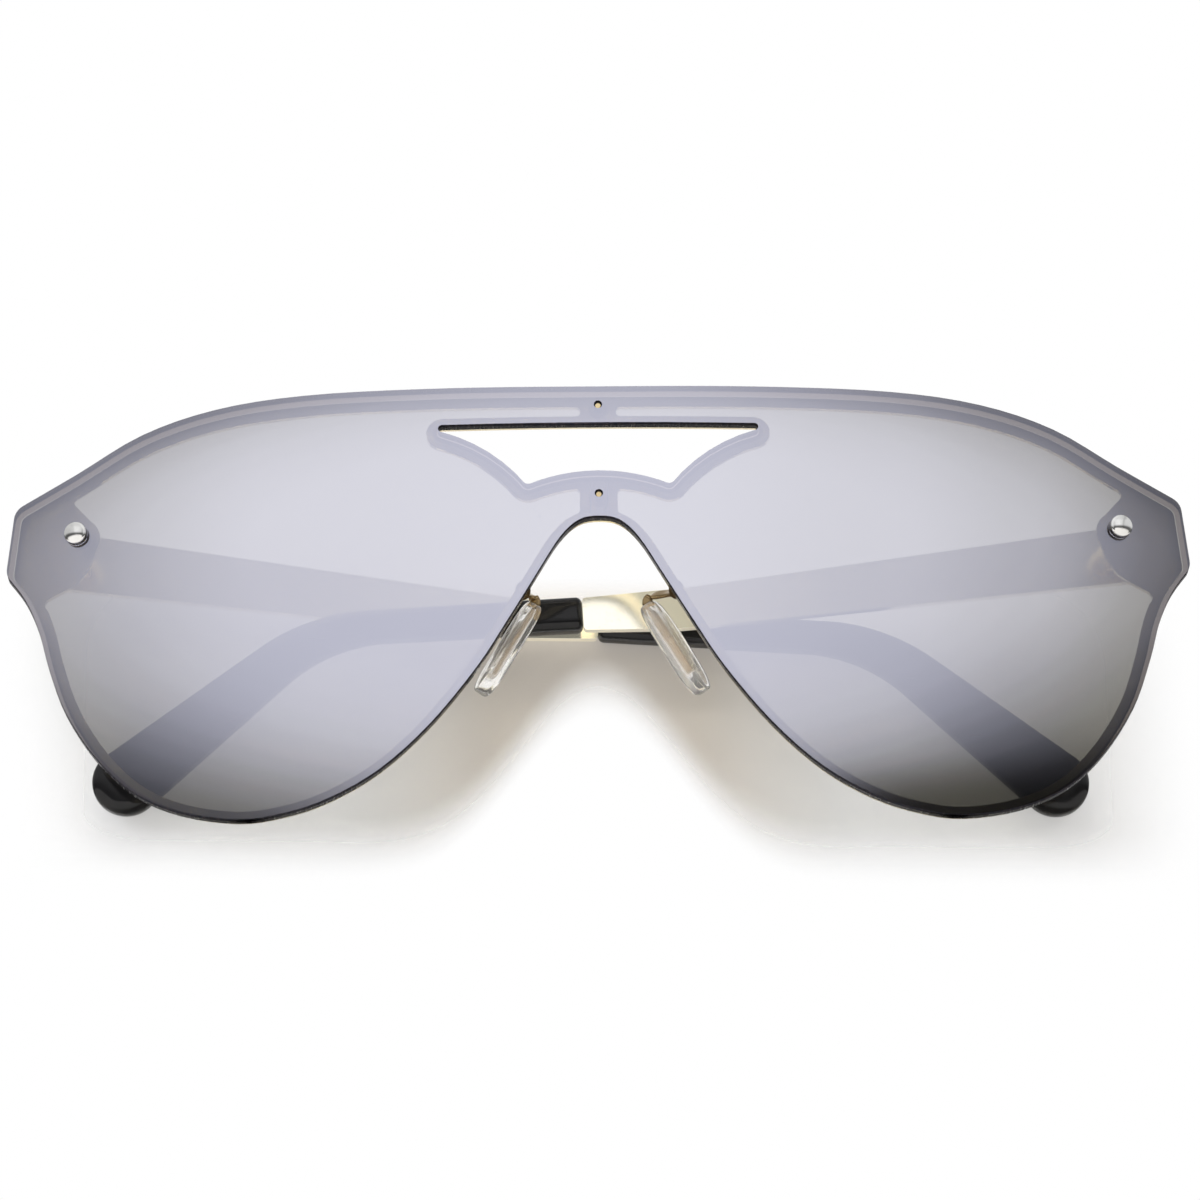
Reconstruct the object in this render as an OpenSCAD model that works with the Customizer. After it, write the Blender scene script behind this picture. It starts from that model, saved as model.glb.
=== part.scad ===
// Shield sunglasses: one mirrored lens carried by a thin metal frame, with folding temples.
// They stand as worn with the temples folded. +X is the viewer's right, +Y runs from the lens
// back to the face and +Z is up. The lobes of the lens stand on the plane z = 0.

/* [Lens] */
// Width of the lens from end to end
lens_w = 145; // [130:1:160]
// Height of the lens from the foot of its lobes to the brow
lens_h = 54.3; // [49:0.1:60]
// Thickness of the lens
lens_t = 1.8; // [1.2:0.1:2.1]
// Radius of the curve that the lens takes round the face
face_r = 300; // [260:5:500]
// Radius of the lens's outer corners
corner_r = 2; // [1:0.25:2.25]

/* [Brow window] */
// Width of the window from tip to tip
window_w = 39.1; // [34:0.1:44]
// Height of the window from its top edge to its two feet
window_h = 8.1; // [7:0.1:9]
// Depth of the brow above the window
window_drop = 4.7; // [4.3:0.1:5.5]
// Distance between the two feet of the window
window_foot_w = 17.6; // [14:0.1:20]
// Height that the arch between the feet rises
window_arch = 1.8; // [1:0.1:2.6]
// Swell of the window's slanting sides
window_swell = 1; // [0.5:0.1:1.4]
// Radius of the window's tips
window_tip_r = 0.45; // [0.3:0.05:0.6]
// Radius of the window's feet
window_foot_r = 0.8; // [0.4:0.1:1]

/* [Frame] */
// Thickness of the metal frame
frame_t = 0.8; // [0.6:0.1:1.2]
// Width of the rim that follows the lens
rim_w = 1.3; // [1:0.1:1.6]
// Width of the band round the window
band_w = 1.35; // [1:0.05:1.5]
// How far the lens stands past the frame at the brow
overhang = 0.7; // [0.4:0.1:0.8]
// How far the lens stands past the frame inside the window
window_overhang = 0.15; // [0.1:0.05:0.4]
// Width of the post between the brow and the window
upper_post_w = 4.4; // [3:0.1:6]
// Width of the post between the window and the nose arch
lower_post_w = 4.6; // [3:0.1:5.6]
// Radius of the frame round each stud
lobe_r = 2.75; // [2.2:0.05:3.2]

/* [Studs and pins] */
// Distance of a stud from the end of the lens
stud_inset = 8.65; // [8:0.05:9.5]
// Radius of a stud's head
stud_r = 1.4; // [1.1:0.05:1.6]
// Height of the straight side of a stud's head
stud_side_h = 0.75; // [0.4:0.05:1]
// Height of the dome on a stud's head
stud_dome_h = 0.6; // [0.3:0.05:0.8]
// Radius of a stud's shank
shank_r = 0.6; // [0.4:0.05:0.7]
// Radius of the washer behind the frame
washer_r = 1.5; // [1.2:0.05:1.7]
// Thickness of the washer
washer_t = 0.3; // [0.2:0.05:0.5]
// Size of the nut across its flats
nut_w = 2.5; // [2:0.1:2.8]
// Thickness of the nut
nut_t = 1; // [0.8:0.1:1.3]
// Radius of the two pins at the centre
pin_r = 0.4; // [0.3:0.05:0.5]
// Radius of the lens's holes for the pins
pin_hole_r = 0.5; // [0.5:0.05:0.8]

/* [Nose pads] */
// Length of a nose pad
pad_l = 13; // [11:0.1:15]
// Width of a nose pad
pad_w = 5.4; // [4.5:0.1:6]
// Thickness of a nose pad
pad_t = 2.3; // [2:0.1:2.6]
// Distance of a pad's middle behind the lens's front
pad_back = 7.6; // [7:0.1:9]
// Angle that a pad's foot stands out from the vertical
pad_lean = 31; // [24:1:36]
// Angle that a pad's back edge stands out from the front one
pad_splay = 20; // [8:1:28]
// How far both pads are bent over to the viewer's left
pad_shift = 1; // [-1.5:0.1:1.5]
// Thickness of a pad arm
arm_t = 0.55; // [0.4:0.05:0.7]
// Width of a pad arm
arm_w = 1.3; // [1.1:0.1:1.5]

/* [Hinges] */
// Distance of a hinge's axis from the end of the lens
hinge_inset = 4.7; // [4.5:0.05:5.2]
// Distance of a hinge's axis behind the frame
hinge_stand = 2.65; // [2.5:0.05:3.4]
// Height of a hinge's barrel
barrel_h = 5.1; // [4:0.1:6]
// Radius of a hinge's barrel
barrel_r = 1.25; // [1.1:0.05:1.3]
// Radius of the hinge screw
screw_r = 0.6; // [0.4:0.05:0.7]
// Radius of the hinge screw's head
screw_head_r = 0.95; // [0.8:0.05:1.1]
// Thickness of the plates that carry the hinges
leaf_t = 0.7; // [0.5:0.05:0.8]

/* [Temples] */
// Length of the metal bar from the hinge to the sleeve
bar_l = 69.8; // [64:0.1:76]
// Height of the bar at the hinge
bar_front_h = 7.5; // [6:0.1:8.5]
// Height of the bar at its slight bend before the sleeve
bar_bend_h = 5.3; // [4.6:0.1:6.2]
// Height of the bar at the sleeve
bar_back_h = 4.2; // [3.8:0.1:4.8]
// Length of the bar's end behind that bend, in line with the sleeve
bar_end_l = 12; // [6:0.5:20]
// Thickness of the bar
bar_t = 1.1; // [0.8:0.1:1.5]
// Angle that the bar drops at on its way back
bar_slope = 7; // [4:0.5:9]
// How much shorter the left bar is, with its sleeve further up
sleeve_lap = 1.8; // [0:0.1:3]
// Length of the sleeve before its bend
sleeve_l = 25.2; // [20:0.1:30]
// Length of the sleeve behind its bend
sleeve_end_l = 23.1; // [18:0.1:25]
// Angle that the sleeve drops at before its bend
sleeve_slope = 3; // [1:0.5:5]
// Angle that the sleeve drops at behind its bend
sleeve_end_slope = 40; // [32:1:44]
// Radius of the bend behind the ear
bend_r = 22; // [16:1:28]
// Height of the sleeve's mouth
mouth_h = 4.3; // [4:0.1:5]
// Height of the sleeve at its slimmest
waist_h = 4; // [3.6:0.1:4.6]
// Height of the sleeve's round end
tip_h = 8.4; // [7:0.1:9]
// Thickness of the sleeve
sleeve_t = 3.2; // [2.6:0.1:3.6]

/* [Hidden] */

// The signs of the two sides, as the viewer sees them
left = -1;
right = 1;
// How far a cut runs past the solid that it cuts
overrun = 1;
// The gap between pieces that are screwed or soldered together, the play of a turning fit,
// and the gap between the knuckles of a hinge
seat = 0.02;
fit_gap = 0.05;
knuckle_gap = 0.05;
// Sides of the circles, of the great curve of the face, and steps of the drawn curves
$fn = 48;
face_sides = 360;
steps = 4;
fillet_steps = 5;

half_w = lens_w/2;
frame_front_r = face_r - lens_t - seat;
frame_back_r = frame_front_r - frame_t;

// Knots of the lens's outline as shares of half its width and of its height, with the share
// of the overhang there: the brow from the centre out, then the lobe from the end to the nose
brow_shares = [[0, 0.998, 1], [0.276, 1, 1], [0.497, 0.996, 1], [0.648, 0.974, 1],
    [0.772, 0.925, 1], [0.883, 0.8425, 1], [0.988, 0.769, 1.1]];
lobe_shares = [[1.001, 0.615, 1.1], [0.967, 0.552, 1], [0.943, 0.479, 0.9], [0.924, 0.387, 0.8],
    [0.893, 0.276, 0.65], [0.84, 0.164, 0.5], [0.775, 0.077, 0.4], [0.695, 0.024, 0.35],
    [0.6, 0, 0.3], [0.524, 0.0095, 0.3], [0.448, 0.041, 0.25], [0.365, 0.104, 0.25],
    [0.284, 0.203, 0.2], [0.207, 0.331, 0.2], [0.1545, 0.442, 0.2], [0.105, 0.552, 0.2],
    [0.066, 0.637, 0.2], [0.034, 0.678, 0.2], [0, 0.687, 0.2]];

stud_x = half_w - stud_inset;
stud_z_share = 0.697;
stud_z = lens_h*stud_z_share;
hinge_x = half_w - hinge_inset;
hinge_z = stud_z;

// A point of the share tables in real sizes, keeping the third number as it is
function placed_share(s) = [s.x*half_w, s.y*lens_h, s.z];
function mirrored(p) = [for (i = [len(p) - 1:-1:0]) concat([-p[i].x], [for (k = [1:len(p[i]) - 1]) p[i][k]])];
function without_last(p) = [for (i = [0:len(p) - 2]) p[i]];
function without_first(p) = [for (i = [1:len(p) - 1]) p[i]];
function flat(p) = [p.x, p.y];
function unit(v) = v/norm(v);

// A smooth curve through the knots k, with n steps from each knot to the next
function knot(k, i) = k[max(0, min(len(k) - 1, i))];
function between(a, b, c, d, t) =
    b + t/2*((c - a) + t*((2*a - 5*b + 4*c - d) + t*(3*b - a - 3*c + d)));
function smooth(k, n) = concat([for (i = [0:len(k) - 2], j = [0:n - 1])
    between(knot(k, i - 1), knot(k, i), knot(k, i + 1), knot(k, i + 2), j/n)], [k[len(k) - 1]]);

// The arc of radius r that rounds the corner b between its neighbours a and c
function rounding(a, b, c, r) = let (
        u = unit(flat(a) - flat(b)), v = unit(flat(c) - flat(b)),
        half = acos(u*v)/2, centre = flat(b) + unit(u + v)*r/sin(half),
        from = unit(flat(b) + u*r/tan(half) - centre), to = unit(flat(b) + v*r/tan(half) - centre))
    [for (i = [0:fillet_steps]) let (p = centre + r*unit(from + (to - from)*i/fillet_steps))
        len(b) > 2 ? [p.x, p.y, b.z] : p];

// Points strictly between a and b, on an arc that swells by rise to the left of the way from a to b
function swell(a, b, rise, n) = let (
        l = norm(b - a), r = (l*l/4 + rise*rise)/(2*rise), half = asin(l/2/r),
        along = unit(b - a), side = [-along.y, along.x], mid = (a + b)/2)
    [for (i = [1:n - 1]) let (t = half*(2*i/n - 1)) mid + along*r*sin(t) + side*(r*cos(t) - r + rise)];

// Arc points about a centre
function arc(centre, r, from, to, n) =
    [for (i = [0:n]) centre + r*[cos(from + (to - from)*i/n), sin(from + (to - from)*i/n)]];

// A closed outline that runs clockwise, moved inwards by d plus each point's share of the overhang
function inwards(p, d, hang) = [for (i = [0:len(p) - 1]) let (
        n = len(p), t = unit(flat(p[(i + 1)%n]) - flat(p[(i + n - 1)%n])),
        far = d + (len(p[i]) > 2 ? hang*p[i].z : 0))
    flat(p[i]) + far*[t.y, -t.x]];

brow_knots = [for (s = brow_shares) placed_share(s)];
lobe_knots = [for (s = lobe_shares) placed_share(s)];
brow_line = smooth(concat(mirrored(without_first(brow_knots)), brow_knots), steps);
lobe_line = smooth(concat(lobe_knots, mirrored(without_last(lobe_knots))), steps);
brow_count = len(brow_line) - 2;
lobe_count = len(lobe_line) - 4;
lobe_first = brow_count + 2*(fillet_steps + 1);
end_corners = concat(
    rounding(brow_line[brow_count], brow_line[brow_count + 1], lobe_line[0], corner_r),
    rounding(brow_line[brow_count + 1], lobe_line[0], lobe_line[2], corner_r));
lens_outline = concat(without_first(without_last(brow_line)), end_corners,
    [for (i = [2:lobe_count + 1]) lobe_line[i]], mirrored(end_corners));

// The window, also clockwise: the right tip, the right side, the right foot, the arch and the rest
window_top = lens_h*brow_shares[0].y - window_drop;
window_foot = [window_foot_w/2, window_top - window_h];
window_tip = [window_w/2 - window_tip_r, window_top - window_tip_r];
window_chord = unit(window_foot - window_tip);
window_tip_turn = atan2(-window_chord.y, -window_chord.x)
    - 2*atan(2*window_swell/norm(window_foot - window_tip));
window_tip_end = window_tip + window_tip_r*[sin(window_tip_turn), -cos(window_tip_turn)];
side_steps = 6;
window_side = swell(window_foot, window_tip_end, window_swell, side_steps);
window_side_down = [for (i = [len(window_side) - 1:-1:0]) window_side[i]];
window_floor = swell(window_foot, [-window_foot.x, window_foot.y], -window_arch, 2*side_steps);
window_half = concat(arc(window_tip, window_tip_r, 90, window_tip_turn - 90, side_steps), window_side_down,
    rounding(window_side_down[side_steps - 2], window_foot, window_floor[0], window_foot_r));
window_outline = concat(window_half, window_floor, mirrored(window_half));

// The frame's edges: the rim inside the lens's outline and the band round the window
rim_outer = inwards(lens_outline, 0, overhang);
rim_inner = inwards(lens_outline, rim_w, overhang);
band_inner = inwards(window_outline, -window_overhang, 0);
band_outer = inwards(window_outline, -window_overhang - band_w, 0);

// The eye opening on the right: under the brow, round the stud, round the lobe and up the nose,
// then along the window's band. Each post is rounded where it meets the rim and the band.
post_fillet_share = 0.4;
slot_h = window_drop - overhang - rim_w - window_overhang - band_w;
post_fillet = slot_h*post_fillet_share;
plate_fillet = 0.8;
stud_at = [stud_x, stud_z];
// Corners and bends of the frame's end plate, in steps of the stud's lobe from the stud
plate_top_shares = [0.38, 1.9];
plate_low_shares = [[-0.56, -1.27], [0.02, -2.04], [0.86, -2.51]];
plate_foot_shares = [1.62, -2.87];
plate_top = stud_at + lobe_r*plate_top_shares;
plate_foot = stud_at + lobe_r*plate_foot_shares;
lobe_arc_from = 125;
lobe_arc_to = 215;
plate_arc = arc(stud_at, lobe_r, lobe_arc_from, lobe_arc_to, 2*steps);
plate_low = smooth(concat([plate_arc[2*steps]], [for (s = plate_low_shares) stud_at + lobe_r*s]), steps);

brow_rim = [for (i = [0:brow_count - 1]) rim_inner[i]];
lobe_rim = [for (i = [0:(lobe_count - 1)/2]) rim_inner[lobe_first + i]];
post_reach = 2*post_fillet;
upper_reach = upper_post_w/2 + post_reach;
lower_reach = lower_post_w/2 + post_reach;
brow_rim_right = [for (p = brow_rim) if (p.x > upper_reach && p.x < plate_top.x - plate_fillet) p];
lobe_rim_right = [for (p = lobe_rim)
    if (p.x > lower_reach && (p.x < half_w/2 || p.y < plate_foot.y - plate_fillet)) p];
band_right = [for (p = band_outer) if (p.x > (p.y > window_top ? upper_reach : lower_reach)) p];
band_up = [for (i = [len(band_right) - 1:-1:0]) band_right[i]];

nose_rim_z = lookup(lower_post_w/2, lobe_rim);
band_floor = [for (p = band_outer) if (p.y < window_foot.y + window_arch && p.x > 0) p];
band_floor_z = lookup(lower_post_w/2, band_floor);
brow_rim_z = lookup(upper_post_w/2, brow_rim);
band_top_z = window_top + window_overhang + band_w;
lower_corner_a = [lower_post_w/2, nose_rim_z];
lower_corner_b = [lower_post_w/2, band_floor_z];
upper_corner_a = [upper_post_w/2, band_top_z];
upper_corner_b = [upper_post_w/2, brow_rim_z];
eye_opening = concat(brow_rim_right,
    rounding(brow_rim_right[len(brow_rim_right) - 1], plate_top, plate_arc[0], plate_fillet),
    plate_arc, without_first(without_last(plate_low)),
    rounding(plate_low[len(plate_low) - 2], plate_low[len(plate_low) - 1], plate_foot, plate_fillet),
    rounding(plate_low[len(plate_low) - 1], plate_foot, lobe_rim_right[0], plate_fillet),
    lobe_rim_right,
    rounding(lobe_rim_right[len(lobe_rim_right) - 1], lower_corner_a, lower_corner_b, post_fillet),
    rounding(lower_corner_a, lower_corner_b, band_up[0], post_fillet),
    band_up,
    rounding(band_up[len(band_up) - 1], upper_corner_a, upper_corner_b, post_fillet),
    rounding(upper_corner_a, upper_corner_b, brow_rim_right[0], post_fillet));

// Depth behind the lens's front of a face on the radius r, and its turn, at x from the centre
function depth_at(x, r) = face_r - sqrt(r*r - x*x);
function lean_at(x, r) = asin(x/r);

stud_y = depth_at(stud_x, face_r);
stud_lean = lean_at(stud_x, face_r);
stack_t = lens_t + seat + frame_t;
shank_end = 0.3;
nut_corner_r = nut_w/2/cos(30);
dome_r = (stud_r*stud_r + stud_dome_h*stud_dome_h)/(2*stud_dome_h);
// A stud's line from the top of its dome to the end of its shank, in steps of radius and depth
stud_end = stack_t + 3*seat + washer_t + nut_t + shank_end;
dome_at = dome_r - seat - stud_side_h - stud_dome_h;
stud_line = concat(arc([0, dome_at], dome_r, -90, asin(stud_r/dome_r) - 90, 2*steps),
    [[stud_r, -seat], [shank_r, -seat], [shank_r, stud_end], [0, stud_end]]);
nose_top = lens_h*lobe_shares[len(lobe_shares) - 1].y;
window_floor_z = window_foot.y + window_arch;
pin_z = [window_top + window_drop/2, (window_floor_z + nose_top)/2];
pin_recess = 0.45;
pin_play = 0.02;
pin_head_r = 0.8;
pin_head_t = 0.35;

// The hinge: its axis, the plate soldered to the frame and the leaf soldered to the bar
hinge_y = depth_at(hinge_x, frame_back_r) + hinge_stand;
hinge_lean = lean_at(hinge_x, frame_back_r);
knuckle_h = (barrel_h - 2*knuckle_gap)/3;
hinge_play = 0.15;
sole_w = 3.1;
sole_x = barrel_r - hinge_stand*sin(hinge_lean);
sole_y = seat - hinge_stand*cos(hinge_lean);
web_w = 1.7;
leaf_l = 6;
leaf_h = 4.6;
leaf_y = barrel_r + hinge_play;
screw_head_t = 0.45;
slot_w = 0.25;
slot_depth = 0.2;
screw_end = 0.1;

// The bar's middle, and its front end, which stops just short of the frame as the temple opens
bar_mid = leaf_y + leaf_t + seat + bar_t/2;
bar_stop = 1.1;
bar_front = hinge_stand - bar_stop;
bar_round = 1.2;
bar_back_round = 0.5;
bar_bend_round = 30;
// The metal core inside the sleeve and the play round it
core_h = 1.5;
core_t = 0.9;
core_play = 0.04;
core_share = 0.8;
// The left temple lies over the right one, clear of it where they cross
crossing_share = 0.64;
crossing_gap = 0.15;
left_rest = atan((sleeve_t/2 + bar_t/2 + crossing_gap)/(hinge_x*crossing_share));

// The line through the middle of the bar and the sleeve, in steps of u from the end of the right bar
bar_bend_x = bar_l - bar_end_l;
bar_drop = bar_bend_x*tan(bar_slope) + bar_end_l*tan(sleeve_slope);
bend_turn = sleeve_end_slope - sleeve_slope;
bend_l = bend_r*bend_turn*PI/180;
sleeve_total = sleeve_l + bend_l + sleeve_end_l;
tip_r = tip_h/2;
mouth_round = 0.8;
function down(a) = [cos(a), -sin(a)];
function across(a) = [sin(a), cos(a)];
function sleeve_angle(u) = sleeve_slope + bend_turn*max(0, min(1, (u - sleeve_l)/bend_l));
bar_end = [bar_l, -bar_drop];
bend_start = bar_end + sleeve_l*down(sleeve_slope);
bend_centre = bend_start - bend_r*across(sleeve_slope);
function sleeve_point(u) = u < sleeve_l ? bar_end + u*down(sleeve_angle(u))
    : bend_centre + bend_r*across(sleeve_angle(u)) + max(0, u - sleeve_l - bend_l)*down(sleeve_end_slope);
// The left sleeve starts and ends sooner, by the length that its bar lacks
function lap(side) = side < 0 ? -sleeve_lap : 0;
function sleeve_half_h(u, side) = waist_h/2 + (u < sleeve_l ? (mouth_h - waist_h)/2*(1 - max(0, u)/sleeve_l)
    : (tip_h - waist_h)/2*(u - sleeve_l)/(sleeve_total + lap(side) - sleeve_l));

// The glasses are centred over the origin between the lens and the far tip of the left temple
tip_reach_share = 0.168;
tip_reach = sleeve_point(sleeve_total + lap(left)).x + tip_r*tip_reach_share;
rest_depth = hinge_y + (bar_mid + sleeve_t/2)*cos(left_rest) + tip_reach*sin(left_rest);
lens_foot = min([for (p = lens_outline) p.y]);
module in_place() { translate([0, -rest_depth/2, -lens_foot]) children(); }

// Outlines are drawn in X and Z and pushed through the lens along Y
module prism(points) {
    translate([0, rest_depth, 0]) rotate([90, 0, 0])
        linear_extrude(height = rest_depth + overrun) polygon(points);
}
module face_shell(r, t) {
    translate([0, face_r, -overrun]) difference() {
        cylinder(r = r, h = lens_h + 2*overrun, $fn = face_sides);
        translate([0, 0, -overrun]) cylinder(r = r - t, h = lens_h + 4*overrun, $fn = face_sides);
    }
}
// Children that are drawn about a stud's axis, with the viewer's side at -Y and the lens's front at zero
module at_stud(side) {
    translate([side*stud_x, stud_y, stud_z]) rotate([0, 0, side*stud_lean]) children();
}
module rod(r, from, to) { translate([0, from, 0]) rotate([-90, 0, 0]) cylinder(r = r, h = to - from); }
module at_pin(z) { translate([0, 0, z]) children(); }
module upright(r, from, to) { translate([0, 0, from]) cylinder(r = r, h = to - from); }
module block(from, to) { translate(from) cube(to - from); }
// Children of a hinge, with +X outwards, and of a temple, with +X along it and +Y away from the lens
module at_hinge(side) {
    translate([side*hinge_x, hinge_y, hinge_z]) mirror([side < 0 ? 1 : 0, 0, 0]) children();
}
module at_temple(side) {
    translate([side*hinge_x, hinge_y, hinge_z]) mirror([side > 0 ? 1 : 0, 0, 0])
        rotate([0, 0, side < 0 ? left_rest : 0]) children();
}

module lens() {
    color("lightsteelblue") in_place() difference() {
        intersection() {
            prism([for (p = lens_outline) flat(p)]);
            face_shell(face_r, lens_t);
        }
        prism(window_outline);
        for (side = [left, right]) at_stud(side) rod(shank_r + fit_gap, -overrun, lens_t + overrun);
        for (z = pin_z) at_pin(z) rod(pin_hole_r, -overrun, lens_t + overrun);
    }
}

module front_frame() {
    color("gold") in_place() difference() {
        intersection() {
            prism(rim_outer);
            face_shell(frame_front_r, frame_t);
        }
        prism(band_inner);
        prism(eye_opening);
        prism(mirrored(eye_opening));
        for (side = [left, right]) at_stud(side) rod(shank_r + fit_gap, -overrun, stack_t + overrun);
        for (z = pin_z) at_pin(z) rod(pin_r + pin_play, -overrun, stack_t + overrun);
    }
}

// A domed head in front of the lens on a shank that ends past the nut
module stud(side) {
    color("silver") in_place() at_stud(side) rotate([-90, 0, 0]) rotate_extrude() polygon(stud_line);
}
module stud_washer(side) {
    color("gainsboro") in_place() at_stud(side) difference() {
        rod(washer_r, stack_t + seat, stack_t + seat + washer_t);
        rod(shank_r + fit_gap, stack_t - overrun, stack_t + washer_t + overrun);
    }
}
module stud_nut(side) {
    nut_from = stack_t + 2*seat + washer_t;
    color("goldenrod") in_place() at_stud(side) difference() {
        translate([0, nut_from, 0]) rotate([-90, 0, 0]) cylinder(r = nut_corner_r, h = nut_t, $fn = 6);
        rod(shank_r + pin_play, nut_from - overrun, nut_from + nut_t + overrun);
    }
}
// A pin from behind the post, its end sunk in the lens's hole
module centre_pin(z) {
    color("goldenrod") in_place() at_pin(z) {
        rod(pin_r, pin_recess, stack_t + seat + pin_head_t);
        rod(pin_head_r, stack_t + seat, stack_t + seat + pin_head_t);
    }
}

// A skin over rings of points, closed at both ends
module skin(rings) {
    n = len(rings[0]);
    m = len(rings);
    points = [for (r = rings, p = r) p];
    sides = [for (i = [0:m - 2], k = [0:n - 1]) let (a = i*n + k, b = i*n + (k + 1)%n)
        each [[a, b, b + n], [a, b + n, a + n]]];
    ends = [for (k = [1:n - 2]) each [[0, k + 1, k], [(m - 1)*n, (m - 1)*n + k, (m - 1)*n + k + 1]]];
    polyhedron(points = points, faces = concat(sides, ends));
}
// A ring round c with the half widths u and v, square where bow is 0 and an ellipse where it is 1
function bowed(x, bow) = sign(x)*pow(abs(x), bow);
function ring(c, u, v, n, bow) =
    [for (i = [0:n - 1]) c + u*bowed(cos(360*i/n), bow) + v*bowed(sin(360*i/n), bow)];

// The nose pad's middle, and its directions as on the right: up its length, out and back
pad_x = 10.2;
pad_z = 22.9;
pad_tilt = 5;
function pad_mid(side) = [pad_x - side*pad_shift, pad_back, pad_z];
function pad_head(side) = pad_mid(side) + pad_up*pad_l/2;
pad_up = unit([-sin(pad_lean), -tan(pad_tilt), cos(pad_lean)]);
pad_side = [cos(pad_lean), 0, sin(pad_lean)];
pad_rear = cross(pad_up, pad_side);
pad_wide = pad_rear*cos(pad_splay) + pad_side*sin(pad_splay);
pad_out = pad_side*cos(pad_splay) - pad_rear*sin(pad_splay);
pad_bow = 0.85;
pad_steps = 18;
pad_sides = 16;
pad_last = 86;
pad_edge = 2.4;
function round_share(s, e) = pow(1 - pow(abs(s), e), 1/e);
function pad_rings(side) = [for (i = [0:pad_steps]) let (s = sin(pad_last*(2*i/pad_steps - 1))) ring(
    pad_mid(side) + pad_up*pad_l/2*s, pad_wide*pad_w/2*round_share(s, pad_edge),
    pad_out*pad_t/2*round_share(s, 2*pad_edge), pad_sides, pad_bow)];

// The arm: from the back of the rim, round to the pad's head, then a tongue inside the pad
arm_foot_x = 9.3;
arm_foot_z = 28.7;
arm_foot = [arm_foot_x, depth_at(arm_foot_x + arm_w/2, frame_back_r) + seat, arm_foot_z];
arm_rise = 0.8;
arm_shares = [[0, 0.3, 0.15], [0.3, 0.7, 0.7], [0.8, 0.97, 0.8]];
tongue_w = 2.2;
tongue_t = 0.5;
tongue_from = 0.8;
tongue_to = -0.55;
arm_in_share = 0.7;
function arm_knots(side) = let (way = pad_head(side) - arm_foot) concat([arm_foot],
    [for (s = arm_shares) arm_foot + [s.x*way.x, s.y*way.y, s.z*arm_rise]],
    [pad_head(side), pad_mid(side) + pad_up*pad_l/2*arm_in_share]);
arm_sides = 8;
arm_bow = 0.5;
function arm_dir(path, i) = i == 0 ? [0, 1, 0] : unit(knot(path, i + 1) - knot(path, i - 1));
function arm_rings(side, play) = let (path = smooth(arm_knots(side), steps))
    [for (i = [0:len(path) - 1]) let (
        d = arm_dir(path, i), wide = unit(pad_side - d*(pad_side*d)), thin = cross(wide, d))
    ring(path[i], wide*(arm_w/2 + play), thin*(arm_t/2 + play), arm_sides, arm_bow)];
function tongue_rings(side, play) = [for (s = [tongue_to - play, tongue_from + play]) ring(
    pad_mid(side) + pad_up*pad_l/2*s, pad_wide*(tongue_w/2 + play), pad_out*(tongue_t/2 + play),
    arm_sides, arm_bow)];

module at_side(side) { mirror([side < 0 ? 1 : 0, 0, 0]) children(); }
module pad_arm(side) {
    color("darkgoldenrod") in_place() at_side(side) {
        skin(arm_rings(side, 0));
        skin(tongue_rings(side, 0));
    }
}
module nose_pad(side) {
    color("white") in_place() at_side(side) difference() {
        skin(pad_rings(side));
        skin(arm_rings(side, seat));
        skin(tongue_rings(side, seat));
    }
}

// The plate and the top and bottom knuckles behind the frame
module front_hinge(side) {
    color("goldenrod") in_place() at_hinge(side) difference() {
        union() {
            rotate([0, 0, hinge_lean]) {
                block([sole_x - sole_w, sole_y, -barrel_h/2], [sole_x, sole_y + leaf_t, barrel_h/2]);
                for (z = [-barrel_h/2, barrel_h/2 - knuckle_h])
                    block([-web_w/2, sole_y + leaf_t/2, z], [web_w/2, 0, z + knuckle_h]);
            }
            for (z = [-barrel_h/2, barrel_h/2 - knuckle_h]) upright(barrel_r, z, z + knuckle_h);
        }
        upright(screw_r + fit_gap, -barrel_h, barrel_h);
    }
}
// The middle knuckle and the leaf against the bar
module temple_hinge(side) {
    color("peru") in_place() at_temple(side) difference() {
        union() {
            upright(barrel_r, -knuckle_h/2, knuckle_h/2);
            block([-web_w/2, 0, -knuckle_h/2], [web_w/2, leaf_y + leaf_t/2, knuckle_h/2]);
            block([-web_w/2, leaf_y, -leaf_h/2], [leaf_l - web_w/2, leaf_y + leaf_t, leaf_h/2]);
        }
        upright(screw_r + fit_gap, -barrel_h, barrel_h);
    }
}
module hinge_screw(side) {
    head_z = barrel_h/2 + seat;
    color("dimgray") in_place() at_hinge(side) difference() {
        union() {
            upright(screw_r, -barrel_h/2 - screw_end, head_z + screw_head_t/2);
            upright(screw_head_r, head_z, head_z + screw_head_t);
        }
        block([-screw_head_r - overrun, -slot_w/2, head_z + screw_head_t - slot_depth],
            [screw_head_r + overrun, slot_w/2, head_z + screw_head_t + overrun]);
    }
}

// The bar's edge above (1) or below (-1) its middle line, at x from the hinge
function bar_edge(x, way) =
    [x, -x*tan(bar_slope) + way*(bar_front_h + (bar_bend_h - bar_front_h)*x/bar_bend_x)/2];
// The bar's outline up to the value u, where its end is square to its middle line
function bar_outline(u) = let (
        front_top = bar_edge(-bar_front, 1), front_low = bar_edge(-bar_front, -1),
        bend_top = bar_edge(bar_bend_x, 1), bend_low = bar_edge(bar_bend_x, -1),
        back_top = sleeve_point(u) + across(sleeve_slope)*bar_back_h/2,
        back_low = sleeve_point(u) - across(sleeve_slope)*bar_back_h/2)
    concat(rounding(bend_top, front_top, front_low, bar_round),
        rounding(front_top, front_low, bend_low, bar_round),
        rounding(front_low, bend_low, back_low, bar_bend_round),
        rounding(bend_low, back_low, back_top, bar_back_round),
        rounding(back_low, back_top, bend_top, bar_back_round),
        rounding(back_top, bend_top, front_top, bar_bend_round));
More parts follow.
